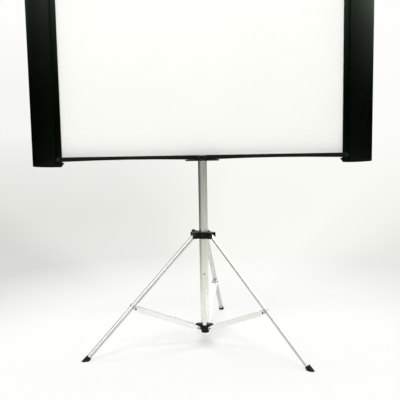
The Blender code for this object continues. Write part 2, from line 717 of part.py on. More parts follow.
def build_collar(root):
    """Sliding collar: a sleeve on the pole, a roofed bracket for each leg and a boss for the knob."""
    carrier = frame_empty("collar_axis", root, (0, 0, COLLAR_PIVOT_HEIGHT))
    inner = POLE_RADIUS + RUNNING
    outer = COLLAR_RADIUS
    edge = COLLAR_EDGE
    profile = [(inner, -COLLAR_BOTTOM), (outer - edge, -COLLAR_BOTTOM), (outer, edge - COLLAR_BOTTOM),
               (outer, COLLAR_TOP - edge), (outer - edge, COLLAR_TOP), (inner, COLLAR_TOP)]
    collar = make_piece("leg_collar", hollow_lathe(profile, POLE_SIDES), "stand_black", carrier)
    for index in range(LEG_COUNT):
        bracket = prism(bracket_outline(), -EAR_OUTER, EAR_OUTER, "xzy")
        combine(collar, bracket, 'UNION', (0, 0, 0), (0, 0, azimuth(index)))
    tip = COLLAR_PIVOT_RADIUS + EAR_REACH + OVERRUN
    roof = COLLAR_TOP - COLLAR_ROOF
    reach = EAR_OUTER + OVERRUN
    for index in range(LEG_COUNT):
        turn = (0, 0, azimuth(index))
        slot = block((outer + SLOT_ROOT, -EAR_INNER, -COLLAR_BOTTOM - OVERRUN), (tip, EAR_INNER, roof))
        combine(collar, slot, 'DIFFERENCE', (0, 0, 0), turn)
        hole = cross_bar(LEG_PIN + SEAT, -reach, reach, PIN_SIDES, COLLAR_PIVOT_RADIUS)
        combine(collar, hole, 'DIFFERENCE', (0, 0, 0), turn)
    add_knob(collar, carrier)
    return carrier


def add_knob(collar, carrier):
    """Boss and screw hole on the collar, and the fluted knob with its screw."""
    up = (0, 0, KNOB_RISE)
    turn = (0, 0, azimuth(0) - math.pi / LEG_COUNT)
    reach = COLLAR_RADIUS + KNOB_BOSS_REACH
    boss = cylinder(KNOB_BOSS_RADIUS, (POLE_RADIUS + COLLAR_RADIUS) / 2, reach, HOLE_SIDES)
    combine(collar, lay_outward(boss), 'UNION', up, turn)
    hole = cylinder(KNOB_SCREW + RUNNING, POLE_RADIUS - POLE_WALL, reach + OVERRUN, HOLE_SIDES)
    combine(collar, lay_outward(hole), 'DIFFERENCE', up, turn)
    axis = frame_empty("knob_axis", carrier, up, turn)
    knob = fluted_knob(POLE_RADIUS + 2 * SEAT, reach + SEAT)
    make_piece("clamp_knob", lay_outward(knob), "stand_black", axis)


def fluted_knob(tip, seat):
    """Screw from tip to seat with a fluted grip beyond it, along Z."""
    bm = bmesh.new()
    sides = KNOB_FLUTES * 4
    chamfer = KNOB_FLUTE_DEPTH
    stations = [(KNOB_SCREW, tip, False), (KNOB_SCREW, seat, False), (KNOB_RADIUS - chamfer, seat, False),
                (KNOB_RADIUS, seat + chamfer, True), (KNOB_RADIUS, seat + KNOB_THICK - chamfer, True),
                (KNOB_RADIUS - chamfer, seat + KNOB_THICK, False)]
    rings = []
    for radius, height, fluted in stations:
        ring = []
        for i in range(sides):
            angle = 2 * math.pi * i / sides
            wave = (1 - math.cos(KNOB_FLUTES * angle)) / 2 if fluted else 0
            r = radius - KNOB_FLUTE_DEPTH * wave
            ring.append(bm.verts.new((r * math.cos(angle), r * math.sin(angle), height)))
        rings.append(ring)
    bm.faces.new(rings[0])
    for lower, upper in zip(rings, rings[1:]):
        bridge_rings(bm, lower, upper)
    bm.faces.new(rings[-1])
    return bm


def build_leg(carrier, index):
    """One leg with its plug, pin, rubber boot, brace clip and brace."""
    number = str(index + 1)
    radial = frame_empty("leg_plane_" + number, carrier, (0, 0, 0), (0, 0, azimuth(index)))
    hinge = frame_empty("leg_axis_" + number, radial, (COLLAR_PIVOT_RADIUS, 0, 0), (0, -LEG_ANGLE, 0))
    low = LEG_AXIS - BOOT_FLOOR - SEAT
    bore = LEG_RADIUS - LEG_WALL
    leg = make_piece("leg_tube_" + number, tube(LEG_RADIUS, bore, -low, LEG_TOP, LEG_SIDES), "silver", hinge)
    reach = LEG_RADIUS + OVERRUN
    combine(leg, cross_bar(EYE_HOLE, -reach, reach, HOLE_SIDES), 'DIFFERENCE')
    build_eye(number, hinge)
    grip = EAR_OUTER + SEAT
    pin = lathe(rivet_profile(LEG_PIN, LEG_PIN_HEAD, RIVET_HEAD_THICK, -grip, grip), PIN_SIDES)
    make_piece("leg_pin_" + number, lay_across(pin), "steel", radial, (COLLAR_PIVOT_RADIUS, 0, 0))
    build_boot(number, hinge)
    build_clip(number, hinge)
    build_brace(number, radial)


def build_eye(number, hinge):
    """Moulded plug that closes the leg's upper end, with the eye that the pin passes through."""
    plug = LEG_RADIUS - LEG_WALL - SEAT
    face = LEG_TOP + SEAT
    top = face + EYE_CAP
    profile = [(0, -EYE_PLUG), (plug, -EYE_PLUG), (plug, face), (LEG_RADIUS, face),
               (LEG_RADIUS, top - EYE_EDGE), (LEG_RADIUS - EYE_EDGE, top), (0, top)]
    eye = make_piece("leg_eye_" + number, lathe(profile, LEG_SIDES), "stand_black", hinge)
    combine(eye, cross_bar(EYE_HOLE, -LEG_RADIUS, LEG_RADIUS, HOLE_SIDES), 'DIFFERENCE')


def build_boot(number, hinge):
    """Rubber boot in line with the leg, cut off level with the floor."""
    bm = bmesh.new()
    bore = CLIP_BORE
    rings = [[], [], [], []]
    for i in range(LEG_SIDES):
        angle = 2 * math.pi * i / LEG_SIDES
        c, s = math.cos(angle), math.sin(angle)
        floor = BOOT_FLARE * c * math.tan(LEG_ANGLE)
        places = [(BOOT_FLARE, -LEG_AXIS - floor), (BOOT_RIM, BOOT_LENGTH - LEG_AXIS),
                  (bore, BOOT_LENGTH - LEG_AXIS), (bore, BOOT_FLOOR - LEG_AXIS)]
        for ring, (radius, height) in zip(rings, places):
            ring.append(bm.verts.new((radius * c, radius * s, height)))
    bm.faces.new(rings[0])
    for lower, upper in zip(rings, rings[1:]):
        bridge_rings(bm, lower, upper)
    bm.faces.new(rings[3])
    make_piece("foot_boot_" + number, bm, "rubber", hinge)


def build_clip(number, hinge):
    """Clip round a leg with the block that its brace turns on, and the bolt that closes it."""
    half = CLAMP_HEIGHT / 2
    place = (0, 0, -BRACE_ON_LEG)
    ring = cylinder(CLIP_OUTER, -half, half, LEG_SIDES)
    clip = make_piece("brace_clip_" + number, ring, "silver", hinge, place)
    r = CLAMP_EAR_RADIUS
    root = -CLIP_BORE / 2
    outline = [(root, -r), (root, r)] + arc((-BRACE_OFFSET, 0), r, 90, 270, 2 * ARC_STEPS)
    combine(clip, prism(outline, -FORK_FILL, FORK_FILL, "xzy"), 'UNION')
    boss = cylinder(CLAMP_BOLT, CLIP_BORE / 2, CLIP_OUTER + CLAMP_BOLT_REACH, PIN_SIDES)
    combine(clip, lay_outward(boss), 'UNION')
    combine(clip, cylinder(CLIP_BORE, -half - OVERRUN, half + OVERRUN, LEG_SIDES), 'DIFFERENCE')
    reach = BRACE_INNER + OVERRUN
    hole = cross_bar(BRACE_PIN + SEAT, -reach, reach, PIN_SIDES, -BRACE_OFFSET)
    combine(clip, hole, 'DIFFERENCE')
    grip = BRACE_OUTER + SEAT
    pin = lathe(rivet_profile(BRACE_PIN, BRACE_PIN_HEAD, BRACE_HEAD_THICK, -grip, grip), PIN_SIDES)
    make_piece("brace_pin_" + number, lay_across(pin), "steel", hinge, (-BRACE_OFFSET, 0, -BRACE_ON_LEG))


def brace_outline():
    """Side view of a brace from its leg pivot at zero to its hub pivot, both ends round."""
    r = BRACE_END_RADIUS
    half = BRACE_HEIGHT / 2
    points = arc((0, 0), r, -90, 90, 2 * ARC_STEPS)
    points += [(-BRACE_TAPER, half), (BRACE_TAPER - BRACE_LENGTH, half)]
    points += arc((-BRACE_LENGTH, 0), r, 90, 270, 2 * ARC_STEPS)
    points += [(BRACE_TAPER - BRACE_LENGTH, -half), (-BRACE_TAPER, -half)]
    return points


def build_brace(number, radial):
    """Channel brace, open below so that it folds over its leg, forked at the clip and at the hub."""
    place = (BRACE_JOINT_OUT, 0, BRACE_JOINT_UP - COLLAR_PIVOT_HEIGHT)
    hinge = frame_empty("brace_axis_" + number, radial, place, (0, -BRACE_ANGLE, 0))
    wide = BRACE_OUTER
    inner = BRACE_INNER
    half = BRACE_HEIGHT / 2
    brace = make_piece("brace_" + number, prism(brace_outline(), -wide, wide, "xzy"), "silver", hinge)
    end = BRACE_LENGTH + BRACE_END_RADIUS + OVERRUN
    start = BRACE_END_RADIUS + OVERRUN
    over = half + OVERRUN
    combine(brace, block((-end, -inner, -over), (start, inner, half - BRACE_WALL)), 'DIFFERENCE')
    combine(brace, block((-BRACE_OUTER_NOTCH, -inner, -over), (start, inner, over)), 'DIFFERENCE')
    fork = BRACE_INNER_NOTCH - BRACE_LENGTH
    combine(brace, block((-end, -inner, -over), (fork, inner, over)), 'DIFFERENCE')
    for x in (0, -BRACE_LENGTH):
        combine(brace, cross_bar(BRACE_HOLE, -wide - OVERRUN, wide + OVERRUN, PIN_SIDES, x), 'DIFFERENCE')
    for side, word in ((-1, "left"), (1, "right")):
        build_hub_rivet("hub_rivet_" + number + "_" + word, hinge, side)


def build_hub_rivet(name, hinge, side):
    """Headed rivet in one wall of a brace's fork at the hub."""
    face = BRACE_OUTER + SEAT
    head = BRACE_PIN_HEAD
    top = face + BRACE_HEAD_THICK
    profile = [(0, BRACE_INNER), (BRACE_PIN, BRACE_INNER), (BRACE_PIN, face), (head, face),
               (head, top - BRACE_HEAD_THICK * RIVET_DOME_SHARE), (head * RIVET_RIM_SHARE, top), (0, top)]
    bm = lay_across(lathe(profile, PIN_SIDES))
    bmesh.ops.scale(bm, vec=(1, side, 1), verts=bm.verts)
    make_piece(name, bm, "steel", hinge, (-BRACE_LENGTH, 0, 0))


def lug_outline():
    """Lug of the hub, in (out, up) from the pole axis and the pivot height, upright beside the pole."""
    tip = HUB_PIVOT_RADIUS + HUB_LUG_TIP
    face = POLE_RADIUS + SEAT
    step = HUB_BODY_TOP - HUB_LUG_STEP
    points = [(HUB_LUG_ROOT, HUB_LUG_STEP - HUB_BODY_BOTTOM)]
    points += arc((HUB_PIVOT_RADIUS, 0), HUB_LUG_RADIUS, -90, 0, ARC_STEPS)
    points += [(tip, HUB_LUG_TOP - HUB_LUG_BEVEL), (tip - HUB_LUG_BEVEL, HUB_LUG_TOP), (face, HUB_LUG_TOP),
               (face, step), (HUB_LUG_ROOT, step)]
    return points


def build_hub(root):
    """Hub under the pole: a plug in the tube and a barrel with a base disc and three lugs."""
    carrier = frame_empty("hub_axis", root, (0, 0, HUB_PIVOT_HEIGHT))
    body, neck, disc = HUB_BODY_RADIUS, HUB_NECK_RADIUS, HUB_DISC_RADIUS
    plug = POLE_RADIUS - POLE_WALL - SEAT
    top = HUB_BODY_TOP
    rim = HUB_DISC - HUB_BASE
    edge = HUB_EDGE
    profile = [(0, -HUB_BASE), (disc - edge, -HUB_BASE), (disc, edge - HUB_BASE), (disc, rim),
               (neck, rim + edge), (neck, -HUB_BODY_BOTTOM - edge), (body, edge - HUB_BODY_BOTTOM),
               (body, top), (plug, top), (plug, top + HUB_PLUG), (0, top + HUB_PLUG)]
    hub = make_piece("brace_hub", lathe(profile, POLE_SIDES), "stand_black", carrier)
    reach = BRACE_INNER + OVERRUN
    for index in range(LEG_COUNT):
        turn = (0, 0, azimuth(index))
        combine(hub, prism(lug_outline(), -FORK_FILL, FORK_FILL, "xzy"), 'UNION', (0, 0, 0), turn)
        hole = cross_bar(BRACE_PIN + SEAT, -reach, reach, PIN_SIDES, HUB_PIVOT_RADIUS)
        combine(hub, hole, 'DIFFERENCE', (0, 0, 0), turn)


def foot_extent():
    """Front and back reach of the three boots, measured from the pole axis."""
    reach = []
    half = BOOT_FLARE / math.cos(LEG_ANGLE)
    for index in range(LEG_COUNT):
        turn = azimuth(index)
        for i in range(LEG_SIDES):
            angle = 2 * math.pi * i / LEG_SIDES
            out = FOOT_SPREAD + half * math.cos(angle)
            aside = BOOT_FLARE * math.sin(angle)
            reach.append(out * math.sin(turn) + aside * math.cos(turn))
    return min(reach), max(reach)


def build():
    """Whole screen, with the origin on the floor at the middle of its footprint."""
    clear_scene()
    front, back = foot_extent()
    root = frame_empty("pole_axis", None, (0, -(front + back) / 2, 0))
    build_pole(root)
    build_head(root)
    build_hub(root)
    carrier = build_collar(root)
    for index in range(LEG_COUNT):
        build_leg(carrier, index)
    build_screen(root)
    bpy.context.view_layer.update()


build()
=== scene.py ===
"""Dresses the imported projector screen: rounded edges, fine tubes, finishes, fabric, floor and light."""

import json
import math

import bmesh
import bpy
from mathutils import Matrix, Vector, noise


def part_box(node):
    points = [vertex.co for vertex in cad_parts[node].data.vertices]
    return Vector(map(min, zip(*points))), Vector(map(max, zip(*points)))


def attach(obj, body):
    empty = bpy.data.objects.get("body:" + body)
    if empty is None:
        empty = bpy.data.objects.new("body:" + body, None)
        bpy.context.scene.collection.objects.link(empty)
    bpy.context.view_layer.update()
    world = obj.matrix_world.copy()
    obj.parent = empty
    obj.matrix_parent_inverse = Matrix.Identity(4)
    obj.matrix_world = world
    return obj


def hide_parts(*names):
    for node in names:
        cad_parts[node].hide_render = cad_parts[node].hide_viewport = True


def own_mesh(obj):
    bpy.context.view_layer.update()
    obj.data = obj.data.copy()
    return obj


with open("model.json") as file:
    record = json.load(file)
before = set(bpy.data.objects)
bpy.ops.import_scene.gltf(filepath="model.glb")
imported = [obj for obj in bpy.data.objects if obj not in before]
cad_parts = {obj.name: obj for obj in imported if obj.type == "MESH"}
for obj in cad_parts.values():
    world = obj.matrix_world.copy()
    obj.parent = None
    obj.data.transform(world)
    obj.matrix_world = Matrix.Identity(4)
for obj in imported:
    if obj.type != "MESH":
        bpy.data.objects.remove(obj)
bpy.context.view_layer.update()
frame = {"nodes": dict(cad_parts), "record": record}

# Foot of the pole's middle line, from the frame
pole_low, pole_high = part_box("centre_pole")
POLE = (pole_low + pole_high) / 2 * Vector((1, 1, 0))

# Sizes repeated from the part, in metres and radians
SEAT = 0.0003
POLE_RADIUS = 0.0205
POLE_WALL = 0.0016
STAND_TURN = math.radians(-9.3)
COLLAR_PIVOT_RADIUS = 0.0515
COLLAR_PIVOT_HEIGHT = 0.534
FOOT_SPREAD = 0.588
LEG_REACH = FOOT_SPREAD - COLLAR_PIVOT_RADIUS
LEG_ANGLE = math.atan2(LEG_REACH, COLLAR_PIVOT_HEIGHT)
LEG_AXIS = math.hypot(LEG_REACH, COLLAR_PIVOT_HEIGHT)
LEG_RADIUS = 0.0105
LEG_WALL = 0.0012
LEG_TOP = 0.0085
LEG_PIN = 0.0030
BOOT_FLOOR = 0.0150
FIRST_LEG = STAND_TURN - math.radians(150)

# Fine shape of the tubes, in metres and in sides of a round
TUBE_EASE = 0.0005
POLE_SIDES = 72
LEG_SIDES = 40
DRILL_SIDES = 24
DRILL_REACH = 0.02

# Fine shape of the boots, which are slimmer than the solid ones, in metres and in sides of a round
BOOT_SIDES = 48
BOOT_LENGTH = 0.0245
BOOT_RIM = 0.0127
BOOT_FLARE = 0.0139
BOOT_SOLE = 0.0030
BOOT_EASE = 0.0002
BOOT_SETBACK = 0.0004
BOOT_GROOVE_DEPTH = 0.0010
BOOT_GROOVE_TOP = 0.0058
BOOT_CHAMFER = 0.0008
BOOT_ROLL = 0.0026
BOOT_ROUND = 0.0009

# Fine shape of the fabric: depths in metres, reach of the curl as a share of the height
FABRIC_COLUMNS = 200
FABRIC_ROWS = 150
FABRIC_THICKNESS = 0.0006
CURL_DEPTH = 0.0014
CURL_REACH_LOW = 0.055
CURL_REACH_HIGH = 0.06
RIPPLE_DEPTH = 0.0007
RIPPLES_ALONG = 5.1
RIPPLES_UP = 1.6
RIPPLE_LAYER = 2.7

# Width of rounded edges, in metres
ROUND_ARM = 0.0010
ROUND_MOULDED = 0.0007
ROUND_KNUCKLE = 0.0006
ROUND_EXTRUDED = 0.0005
ROUND_PRESSED = 0.0004
ROUND_TURNED = 0.0003
ROUND_SMALL = 0.0002
ROUND_STEPS = 2

# Angles in degrees: where an edge is rounded, where faces are joined up, and where shading breaks
ROUND_FROM = 30
FLAT_WITHIN = 0.6
BREAK_ROUNDED = 34
BREAK_TUBE = 38
BREAK_BOOT = 50
BREAK_FABRIC = 60
# Distance within which points are joined, in metres
WELD_WITHIN = 0.000005

# Photo camera, fitted for a 400 by 400 frame: metres, radians and pixels
CAMERA_PLACE = Vector((-0.0085, -3.4612, 1.2107)) + POLE
CAMERA_PITCH = -0.1451
CAMERA_YAW = -0.0016
CAMERA_ROLL = -0.0179
FOCAL_PIXELS = 742.1
FRAME_PIXELS = 400
SENSOR_WIDTH = 36

# Finishes of the rigid pieces: tones, roughness, grain per metre, its stretch and its depth in metres
FINISHES = {
    "housing": dict(name="satin_black_extrusion", dark=(0.0004, 0.0018, 0.0004),
                    light=(0.0008, 0.0026, 0.0008), rough=(0.09, 0.14), grain=700, stretch=(1, 1, 0.01),
                    depth=0.00001, Specular_IOR_Level=1.0, Specular_Tint=(0.80, 1.0, 0.80, 1)),
    "cap": dict(name="moulded_black_cap", dark=(0.0010, 0.0015, 0.0012), light=(0.0018, 0.0023, 0.0020),
                rough=(0.30, 0.42), grain=1400, depth=0.00004, Specular_IOR_Level=0.10),
    "arm": dict(name="black_powder_coat", dark=(0.0022, 0.0025, 0.0019), light=(0.0045, 0.0048, 0.0038),
                rough=(0.36, 0.52), grain=1100, depth=0.00005, wear=(0.020, 0.020, 0.018),
                Specular_IOR_Level=0.12),
    "stand": dict(name="moulded_black_nylon", dark=(0.0022, 0.0025, 0.0018), light=(0.0048, 0.0052, 0.0040),
                  rough=(0.36, 0.52), grain=1300, depth=0.00006, wear=(0.020, 0.020, 0.018),
                  Specular_IOR_Level=0.16),
    "rubber": dict(name="black_rubber", dark=(0.0040, 0.0042, 0.0036), light=(0.0090, 0.0092, 0.0082),
                   rough=(0.62, 0.85), grain=900, depth=0.0001, wear=(0.020, 0.020, 0.019),
                   Specular_IOR_Level=0.20),
    "bolt": dict(name="blackened_steel", dark=(0.008, 0.008, 0.008), light=(0.018, 0.018, 0.017),
                 rough=(0.30, 0.45), metallic=0.4, grain=800, depth=0.00003, Specular_IOR_Level=0.3),
    "leg": dict(name="satin_aluminium", dark=(0.57, 0.57, 0.555), light=(0.66, 0.66, 0.645),
                rough=(0.28, 0.40), metallic=1.0, grain=900, depth=0.000015),
    "brace": dict(name="brushed_channel", dark=(0.92, 0.92, 0.90), light=(0.96, 0.96, 0.94),
                  rough=(0.30, 0.44), metallic=1.0, grain=900, depth=0.000015),
    "clip": dict(name="pressed_steel_clip", dark=(0.42, 0.42, 0.41), light=(0.54, 0.54, 0.53),
                 rough=(0.28, 0.44), metallic=1.0, grain=900, depth=0.00002),
    "pole": dict(name="drawn_aluminium", dark=(0.83, 0.84, 0.77), light=(0.90, 0.91, 0.85),
                 rough=(0.24, 0.36), metallic=1.0, grain=1100, stretch=(1, 1, 0.008), depth=0.000015),
    "roller": dict(name="roller_tube", dark=(0.50, 0.51, 0.50), light=(0.60, 0.61, 0.60),
                   rough=(0.30, 0.45), metallic=1.0, grain=700, stretch=(1, 1, 0.02), depth=0.00002),
}

# Values that a noise mostly stays between, its roughness, and the pattern of the two tones per metre
NOISE_LOW = 0.3
NOISE_HIGH = 0.7
NOISE_ROUGHNESS = 0.55
TONES_PER_METRE = 9
TONE_DETAIL = 3
GRAIN_DETAIL = 5
# Pointiness from and to which an outer edge is worn
WEAR_FROM = 0.53
WEAR_TO = 0.62

# Finish of the fabric
FABRIC_DARK = (0.884, 0.885, 0.840)
FABRIC_LIGHT = (0.904, 0.905, 0.862)
FABRIC_THREAD = (0.84, 0.84, 0.80)
FABRIC_ROUGH = (0.74, 0.86)
FABRIC_TONES_PER_METRE = 3
WEAVE_SCALE = 260
WEAVE_DISTORTION = 0.6
WEAVE_SHARE = 0.25
WEAVE_DEPTH = 0.00006
WEAVE_STRENGTH = 0.6

# Pale tone of the floor and of the background
PALE = (0.99, 0.99, 0.97)
BLACK = (0.0, 0.0, 0.0)
# Blue share of the greys, which are slightly warm
WARM_BLUE = 0.95
# Painted shade of the background: grey by direction on the level, from left to right behind the object
BACK_SHADE_TONES = [(0.0, 0.62), (0.22, 0.66), (0.29, 0.77), (0.42, 0.81), (0.53, 0.94), (0.66, 0.95),
              (0.73, 0.90), (0.80, 0.80), (1.0, 0.72)]
# Share of that painted shade at the horizon, and the height of a direction at which it has faded into the
# pale
HORIZON_SHARE = 0.35
HORIZON_FADE = 0.10
# Floor's lit shader and size, in metres
FLOOR_TONE = (0.93, 0.93, 0.91)
FLOOR_ROUGHNESS = 0.7
FLOOR_RADIUS = 60
FLOOR_SIDES = 96
FLOOR_DROP = 0.0006
# Share of the background's painted shade on the floor, by distance as a share of the reach in metres
FLOOR_REACH = 20.0
FLOOR_SHADE = [(0.0, 0.0), (0.045, 0.0), (0.060, 0.25), (0.095, 0.85), (0.20, 1.0), (0.42, 0.8),
               (1.0, HORIZON_SHARE)]
# Share of the floor's glowing tone, pale with painted shade for the camera and painted reflection tones for
# mirrored rays, by distance as a share of the glow's reach. The rest takes the shadows
GLOW_REACH = 1.2
GLOW_SHARE = [(0.0, 0.0), (0.10, 0.06), (0.26, 0.58), (0.55, 0.70), (1.0, 1.0)]
# Painted reflection: the tone the floor glows with for mirrored rays only, by distance as a share of the
# reach: bright close by, dark far off
MIRROR_FLOOR = [(0.0, 1.0), (0.05, 1.0), (0.075, 0.96), (0.115, 0.78), (0.20, 0.50), (0.28, 0.39),
                (0.38, 0.22), (0.48, 0.01), (1.0, 0.002)]
# Painted reflection: the tone the sky shows to mirrored rays only, by height: straight down at 0, the
# horizon at 0.5 and straight up at 1
MIRROR_SKY = [(0.0, 0.002), (0.505, 0.005), (0.54, 0.10), (0.575, 0.45), (0.61, 1.0), (1.0, 1.0)]
# Sides of the surroundings: direction on the level, most of a tone, and how directly the side is faced from
# and to. The dim and bright sides are painted reflections, seen only by mirrored rays
ACROSS = ((1, 0, 0), 1, -1, 1)
BEHIND = ((0, 1, 0), 1, -0.10, 0.45)
DIM_FLOOR = ((-0.80, 0.60, 0), 0.85, 0, 0.95)
DIM_SKY = ((-1, 0, 0), 0.45, 0, 0.9)
BRIGHT_SKY = ((1, 0, 0), 1.6, 0.45, 0.95)
# Distance on the floor from and to which its painted dim side, seen only in reflections, sets in, in metres
DIM_NEAR = 0.3
DIM_FAR = 2.8
# Painted highlight: extra brightness of the sky for mirrored rays only, and the height of a direction from
# and to which it sets in
CEILING_GLOSS = 0.4
CEILING_FROM = 0.25
CEILING_TO = 0.50
# Light from all round
AMBIENT_TONE = (0.97, 0.98, 1.0)
AMBIENT_STRENGTH = 0.42


# Meshes and pieces
def new_object(name, data):
    """Object in the scene."""
    obj = bpy.data.objects.new(name, data)
    bpy.context.collection.objects.link(obj)
    return obj


def new_mesh(name, bm):
    """Mesh from a bmesh, which is freed."""
    mesh = bpy.data.meshes.new(name)
    bm.to_mesh(mesh)
    bm.free()
    return mesh


def weighted_normals(mesh):
    """Corner normals in which large faces count more, so that a flat face with rounded edges stays flat."""
    bm = bmesh.new()
    bm.from_mesh(mesh)
    found = {}
    for vert in bm.verts:
        waiting = set(vert.link_faces)
        while waiting:
            group = [waiting.pop()]
            for face in group:
                for edge in vert.link_edges:
                    if edge.smooth and face in edge.link_faces:
                        joined = [other for other in edge.link_faces if other in waiting]
                        waiting.difference_update(joined)
                        group += joined
            normal = sum((face.normal * face.calc_area() for face in group), Vector((0, 0, 0)))
            for face in group:
                found[vert.index, face.index] = normal.normalized() if normal.length else face.normal.copy()
    normals = [found[loop.vert.index, face.index] for face in bm.faces for loop in face.loops]
    bm.free()
    return normals


def body_of(node):
    """Body that a CAD node belongs to."""
    bodies = frame["record"]["behaviour"]["bodies"]
    return next(body for body, nodes in bodies.items() if node in nodes)


def stand_in(name, node, bm, material, break_angle):
    """Piece from a bmesh in world metres that takes the place and the body of a CAD node."""
    bmesh.ops.recalc_face_normals(bm, faces=bm.faces)
    mesh = new_mesh(name, bm)
    mesh.shade_smooth()
    mesh.set_sharp_from_angle(angle=math.radians(break_angle))
    mesh.normals_split_custom_set(weighted_normals(mesh))
    mesh.materials.append(material)
    piece = new_object(name, mesh)
    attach(piece, body_of(node))
    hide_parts(node)
    return piece


# Materials
def new_material(name, base, roughness, metallic=0.0, **sockets):
    """Principled material with its tree and shader."""
    material = bpy.data.materials.new(name)
    material.use_nodes = True
    tree = material.node_tree
    shader = tree.nodes["Principled BSDF"]
    shader.inputs["Base Color"].default_value = (*base, 1)
    shader.inputs["Roughness"].default_value = roughness
    shader.inputs["Metallic"].default_value = metallic
    for key, value in sockets.items():
        shader.inputs[key.replace("_", " ")].default_value = value
    return material, tree, shader


def noise_of(tree, scale, stretch, detail):
    """Noise in the piece's own metres, stretched along an axis."""
    coords = tree.nodes.new("ShaderNodeTexCoord")
    mapping = tree.nodes.new("ShaderNodeMapping")
    mapping.inputs["Scale"].default_value = [scale * share for share in stretch]
    tree.links.new(coords.outputs["Object"], mapping.inputs["Vector"])
    texture = tree.nodes.new("ShaderNodeTexNoise")
    texture.inputs["Scale"].default_value = 1.0
    texture.inputs["Detail"].default_value = detail
    texture.inputs["Roughness"].default_value = NOISE_ROUGHNESS
    tree.links.new(mapping.outputs["Vector"], texture.inputs["Vector"])
    return texture.outputs["Fac"]


def spread(tree, value, low, high, start=NOISE_LOW, end=NOISE_HIGH):
    """Map a value from start-end to low-high."""
    node = tree.nodes.new("ShaderNodeMapRange")
    node.inputs["From Min"].default_value = start
    node.inputs["From Max"].default_value = end
    node.inputs["To Min"].default_value = low
    node.inputs["To Max"].default_value = high
    tree.links.new(value, node.inputs["Value"])
    return node.outputs["Result"]


def combine(tree, operation, first, second):
    """Sum, product or larger one of two values."""
    node = tree.nodes.new("ShaderNodeMath")
    node.operation = operation
    tree.links.new(first, node.inputs[0])
    tree.links.new(second, node.inputs[1])
    return node.outputs["Value"]


def blend_colours(tree, factor, first, second):
    """Mix of two colours, each a colour or a socket."""
    node = tree.nodes.new("ShaderNodeMix")
    node.data_type = "RGBA"
    sockets = {socket.identifier: socket for socket in node.inputs}
    for socket, colour in ((sockets["A_Color"], first), (sockets["B_Color"], second)):
        if isinstance(colour, tuple):
            socket.default_value = (*colour, 1)
        else:
            tree.links.new(colour, socket)
    tree.links.new(factor, sockets["Factor_Float"])
    return next(socket for socket in node.outputs if socket.identifier == "Result_Color")


def bump(tree, shader, value, distance, strength=1.0):
    """Bump from a value, distance in metres."""
    node = tree.nodes.new("ShaderNodeBump")
    node.inputs["Distance"].default_value = distance
    node.inputs["Strength"].default_value = strength
    tree.links.new(value, node.inputs["Height"])
    tree.links.new(node.outputs["Normal"], shader.inputs["Normal"])


def edge_wear(tree):
    """Share of wear, which is full on outer edges."""
    node = tree.nodes.new("ShaderNodeNewGeometry")
    return spread(tree, node.outputs["Pointiness"], 0, 1, WEAR_FROM, WEAR_TO)


def make_finish(name, dark, light, rough, grain, depth, metallic=0.0, stretch=(1, 1, 1), wear=None,
                **sockets):
    """Finish with two tones, uneven roughness, a grain and optional worn edges."""
    material, tree, shader = new_material(name, light, rough[0], metallic, **sockets)
    broad = noise_of(tree, TONES_PER_METRE, (1, 1, 1), TONE_DETAIL)
    fine = noise_of(tree, grain, stretch, GRAIN_DETAIL)
    colour = blend_colours(tree, spread(tree, broad, 0, 1), dark, light)
    if wear:
        colour = blend_colours(tree, edge_wear(tree), colour, wear)
    tree.links.new(colour, shader.inputs["Base Color"])
    tree.links.new(spread(tree, fine, *rough), shader.inputs["Roughness"])
    bump(tree, shader, fine, depth)
    return material


def make_fabric():
    """Matt white coated cloth with a fine weave."""
    material, tree, shader = new_material("coated_white_cloth", FABRIC_LIGHT, FABRIC_ROUGH[0],
                                          Sheen_Weight=0.12, Specular_IOR_Level=0.25)
    coords = tree.nodes.new("ShaderNodeTexCoord")
    waves = []
    for axis in ("X", "Z"):
        wave = tree.nodes.new("ShaderNodeTexWave")
        wave.bands_direction = axis
        wave.inputs["Scale"].default_value = WEAVE_SCALE
        wave.inputs["Distortion"].default_value = WEAVE_DISTORTION
        wave.inputs["Detail"].default_value = 1
        tree.links.new(coords.outputs["Object"], wave.inputs["Vector"])
        waves.append(wave.outputs["Fac"])
    weave = combine(tree, "MULTIPLY", *waves)
    broad = noise_of(tree, FABRIC_TONES_PER_METRE, (1, 1, 1), TONE_DETAIL)
    colour = blend_colours(tree, spread(tree, broad, 0, 1), FABRIC_DARK, FABRIC_LIGHT)
    colour = blend_colours(tree, spread(tree, weave, 0, WEAVE_SHARE, 0, 1), colour, FABRIC_THREAD)
    tree.links.new(colour, shader.inputs["Base Color"])
    tree.links.new(spread(tree, broad, *FABRIC_ROUGH), shader.inputs["Roughness"])
    bump(tree, shader, weave, WEAVE_DEPTH, WEAVE_STRENGTH)
    return material


# Rounded copies of the CAD pieces
def rounded_copy(node, width):
    """CAD node's mesh in world metres with flat faces joined up and its sharp edges rounded."""
    bm = bmesh.new()
    bm.from_mesh(frame["nodes"][node].data)
    bmesh.ops.transform(bm, matrix=frame["nodes"][node].matrix_world, verts=bm.verts)
    bmesh.ops.remove_doubles(bm, verts=bm.verts, dist=WELD_WITHIN)
    bmesh.ops.dissolve_limit(bm, angle_limit=math.radians(FLAT_WITHIN), verts=bm.verts, edges=bm.edges)
    limit = math.radians(ROUND_FROM)
    edges = [edge for edge in bm.edges if len(edge.link_faces) == 2 and edge.calc_face_angle(0) > limit]
    bmesh.ops.bevel(bm, geom=edges, offset=width, segments=ROUND_STEPS, profile=0.5, affect='EDGES',
                    clamp_overlap=True)
    return bm


def round_off(node, material, width):
    """Replace a CAD node by its rounded copy."""
    stand_in(node + "_fine", node, rounded_copy(node, width), material, BREAK_ROUNDED)


